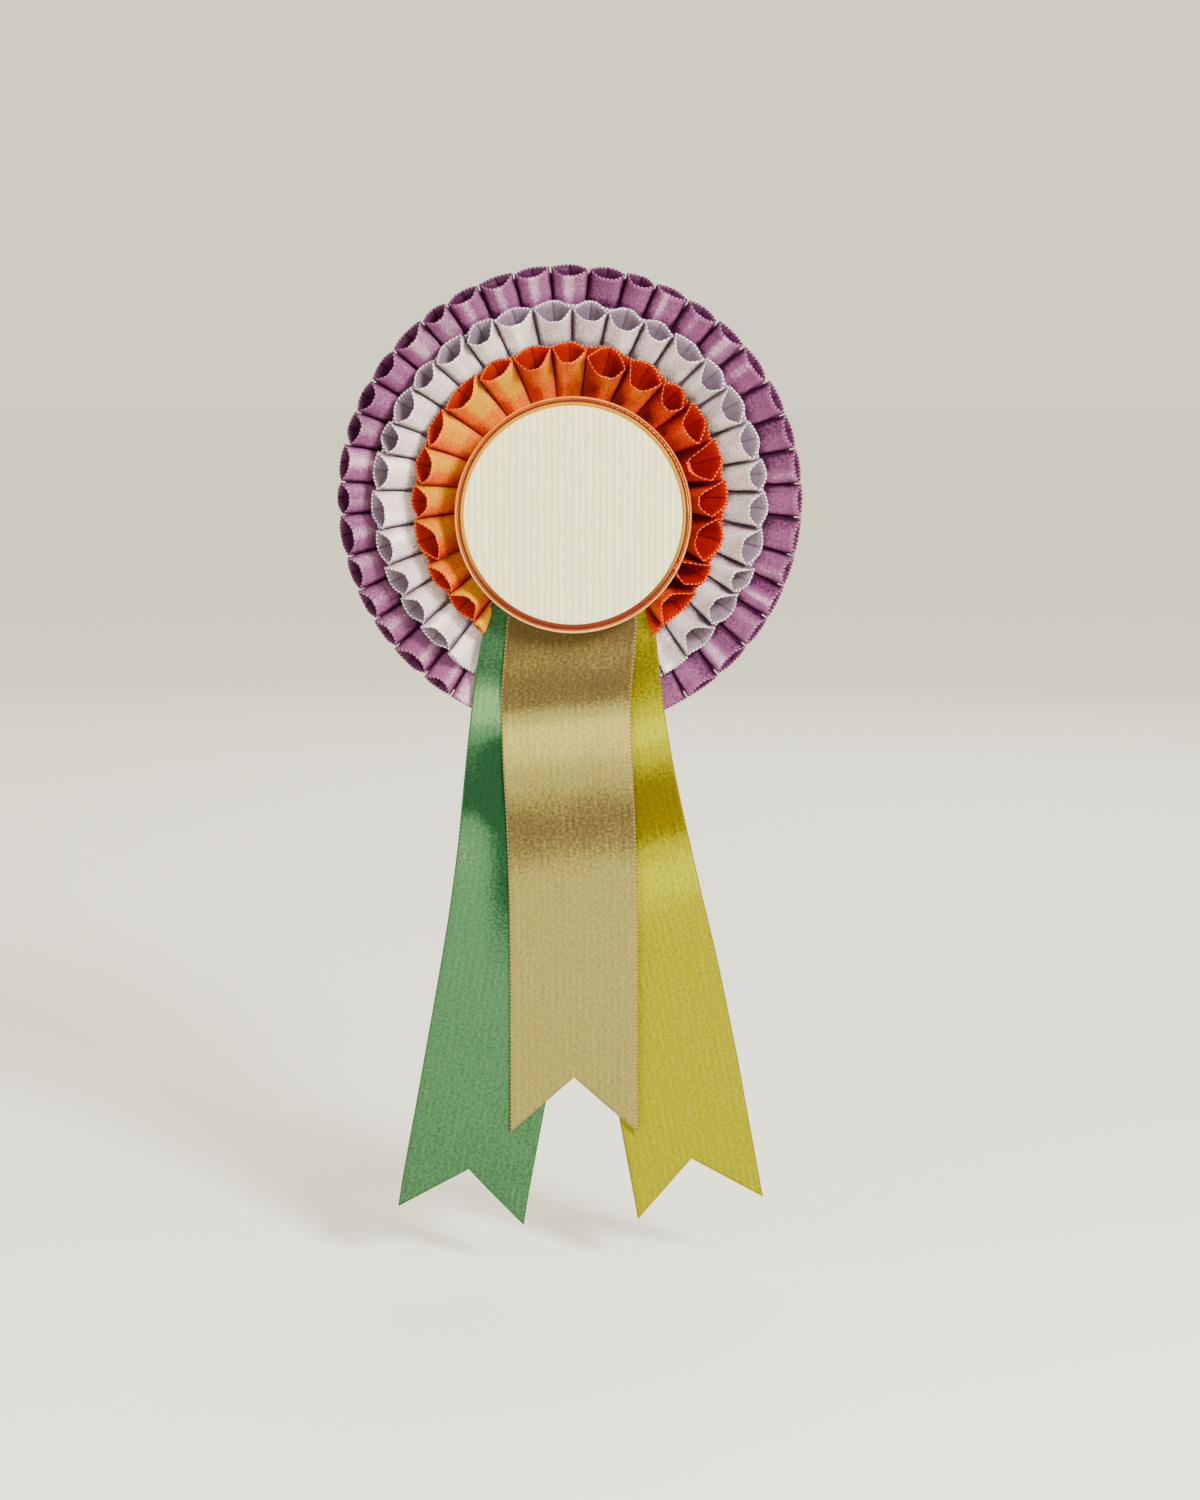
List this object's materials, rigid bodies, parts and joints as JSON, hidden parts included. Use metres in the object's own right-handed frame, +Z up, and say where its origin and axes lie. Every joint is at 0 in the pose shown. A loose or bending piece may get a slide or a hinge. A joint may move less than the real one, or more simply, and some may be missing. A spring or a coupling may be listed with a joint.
{
  "type": "award ribbon rosette",
  "caption": "Award rosette with tiers of box-pleated satin ribbon, a rimmed blank centre button, swallow-tailed streamers that lift, and a hinged lapel pin with a turning safety catch.",
  "frame": {"origin": "middle of the lapel pin needle's straight shaft, 15 mm above the rosette's centre and 4 mm behind its back", "axes": "+Z up along the hanging streamers' length, +X along the needle towards its point, -Y the way the face looks"},
  "size_m": [0.1126, 0.026, 0.236],
  "materials": {
    "felt": "matte pressed felt",
    "greyboard": "matte, fibrous",
    "purple_satin": "satin weave, soft sheen",
    "white_satin": "satin weave, soft sheen",
    "orange_satin": "satin weave, soft sheen",
    "green_satin": "satin weave, soft sheen",
    "lime_satin": "satin weave, soft sheen",
    "beige_satin": "satin weave, soft sheen",
    "purple_thread": "matte thread",
    "white_thread": "matte thread",
    "orange_thread": "matte thread",
    "staple_wire": "bright wire",
    "tinplate": "satin tinplate",
    "cream_paper": "laid paper, matte",
    "foam_pad": "matte foam",
    "copper_piping": "satin-covered piping",
    "brown_band": "matte dark braid",
    "gold_cord": "twisted cord",
    "nickel_plate": "nickel plate, lightly worn",
    "needle_steel": "polished wire"
  },
  "bodies": {
    "rosette": {"back_cover": "felt", "base_card": "greyboard", "middle_card": "greyboard", "inner_card": "greyboard", "centre_card": "greyboard", "tail_card": "greyboard", "purple_ribbon": "purple_satin", "white_ribbon": "white_satin", "orange_ribbon": "orange_satin", "purple_stitching": "purple_thread", "white_stitching": "white_thread", "orange_stitching": "orange_thread", "green_tab": "green_satin", "lime_tab": "lime_satin", "beige_tab": "beige_satin", "staples": "staple_wire", "button_shell": "tinplate", "button_back": "greyboard", "button_face": "cream_paper", "glue_pads": "foam_pad", "rim_piping": "copper_piping", "rim_band": "brown_band", "rim_cord": "gold_cord", "pin_bar": "nickel_plate", "pin_rivets": "nickel_plate", "pin_knuckle": "nickel_plate", "hinge_rivet": "nickel_plate", "catch_post": "nickel_plate"},
    "centre_streamer": {"beige_tail": "beige_satin"},
    "left_streamer": {"green_tail": "green_satin"},
    "right_streamer": {"lime_tail": "lime_satin"},
    "needle": {"pin_needle": "needle_steel"},
    "safety_catch": {"catch_drum": "nickel_plate"}
  },
  "joints": [
    {"name": "centre_tail_lift", "type": "hinge", "parent": "rosette", "child": "centre_streamer", "pos_m": [0.0009, -0.01533, -0.0495], "axis": [-1, 0, 0], "range_deg": [0, 80]},
    {"name": "left_tail_lift", "type": "hinge", "parent": "rosette", "child": "left_streamer", "pos_m": [-0.00528, -0.01453, -0.0503], "axis": [-1, 0, 0], "range_deg": [0, 48]},
    {"name": "right_tail_lift", "type": "hinge", "parent": "rosette", "child": "right_streamer", "pos_m": [0.00664, -0.01373, -0.0511], "axis": [-1, 0, 0], "range_deg": [0, 48]},
    {"name": "pin_swing", "type": "hinge", "parent": "rosette", "child": "needle", "pos_m": [-0.012, 0, 0], "axis": [0, 0, 1], "range_deg": [0, 75]},
    {"name": "catch_turn", "type": "hinge", "parent": "rosette", "child": "safety_catch", "pos_m": [0.0128, 0, 0], "axis": [1, 0, 0], "range_deg": [0, 110]}
  ],
  "couplings": [
    {"joint": "left_tail_lift", "follows": "centre_tail_lift", "ratio": 0.6},
    {"joint": "right_tail_lift", "follows": "centre_tail_lift", "ratio": 0.6}
  ]
}
